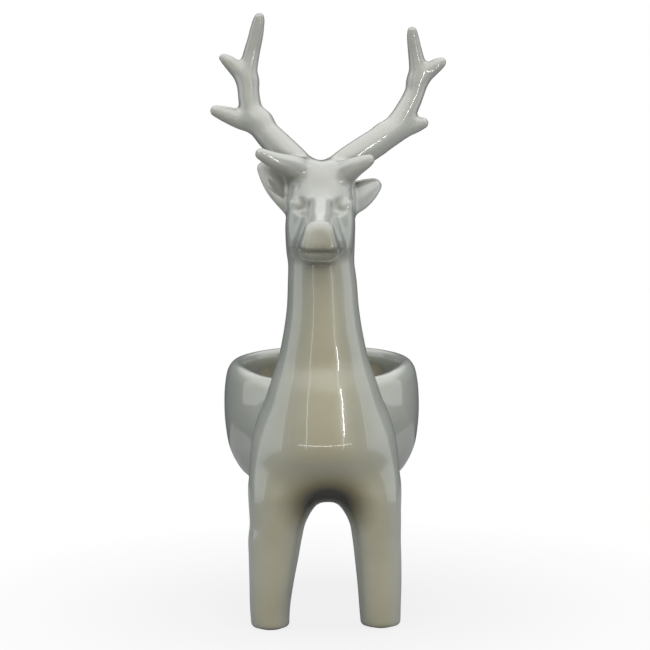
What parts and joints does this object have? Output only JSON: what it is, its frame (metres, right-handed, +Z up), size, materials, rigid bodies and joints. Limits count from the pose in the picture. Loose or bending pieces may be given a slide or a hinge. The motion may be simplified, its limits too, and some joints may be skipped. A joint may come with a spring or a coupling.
{
  "type": "television lamp",
  "caption": "Glazed ceramic standing stag whose open bowl of a back hides a small screw-in bulb, its lampholder and a turn switch.",
  "frame": {"origin": "on the surface the lamp stands on, under the middle of the whole object's bounding box; the stag's own plane of symmetry is 6.2 mm to its -X side, because one antler reaches further out", "axes": "+Z up through the antlers, -Y the way the stag faces, +X to the right of someone facing it"},
  "size_m": [0.1474, 0.2286, 0.3826],
  "materials": {
    "lustre_glaze": "gloss",
    "felt": "matte",
    "brass": "satin",
    "zinc_steel": "satin",
    "black_rubber": "matte",
    "phenolic": "gloss",
    "brown_plastic": "gloss",
    "spring_bronze": "satin",
    "clear_glass": "gloss",
    "black_glass": "gloss",
    "solder": "satin",
    "tungsten": "satin",
    "nickel": "satin"
  },
  "bodies": {
    "figure": {"body_casting": "lustre_glaze", "neck_and_head_casting": "lustre_glaze", "left_antler": "lustre_glaze", "right_antler": "lustre_glaze", "left_ear": "lustre_glaze", "right_ear": "lustre_glaze", "front_left_felt_pad": "felt", "front_right_felt_pad": "felt", "hind_left_felt_pad": "felt", "hind_right_felt_pad": "felt", "lamp_pipe": "brass", "rubber_washers": "black_rubber", "steel_washers": "zinc_steel", "locknuts": "brass", "cord_bushing": "brown_plastic", "housing_cap": "phenolic", "housing_body": "phenolic", "housing_screws": "brass", "left_terminal_plate": "brass", "right_terminal_plate": "nickel", "terminal_screws": "nickel", "hub": "brass", "hub_set_screw": "zinc_steel", "switch_leaf_spring": "spring_bronze", "screw_shell": "brass", "centre_contact": "spring_bronze"},
    "switch": {"switch_rotor": "phenolic", "switch_shaft": "brass", "switch_knob": "phenolic"},
    "bulb_tip": {"bulb_contact_button": "solder"},
    "bulb": {"bulb_cap": "brass", "bulb_insulator": "black_glass", "bulb_glass": "clear_glass", "bulb_stem": "clear_glass", "bulb_lead_wires": "nickel", "bulb_filament": "tungsten"}
  },
  "joints": [
    {"name": "knob_turn", "type": "hinge", "parent": "figure", "child": "switch", "pos_m": [-0.0062, 0.0606, 0.132], "axis": [0, 0, 1], "continuous": true},
    {"name": "bulb_travel", "type": "slide", "parent": "figure", "child": "bulb_tip", "axis": [0, -1, 0], "range_m": [0, 0.0153]},
    {"name": "bulb_unscrew", "type": "hinge", "parent": "bulb_tip", "child": "bulb", "pos_m": [-0.0062, 0.0416, 0.112], "axis": [0, -1, 0], "range_deg": [0, 2160]}
  ],
  "couplings": [
    {"joint": "bulb_travel", "follows": "bulb_unscrew", "m_per_rad": 0.00040425}
  ]
}
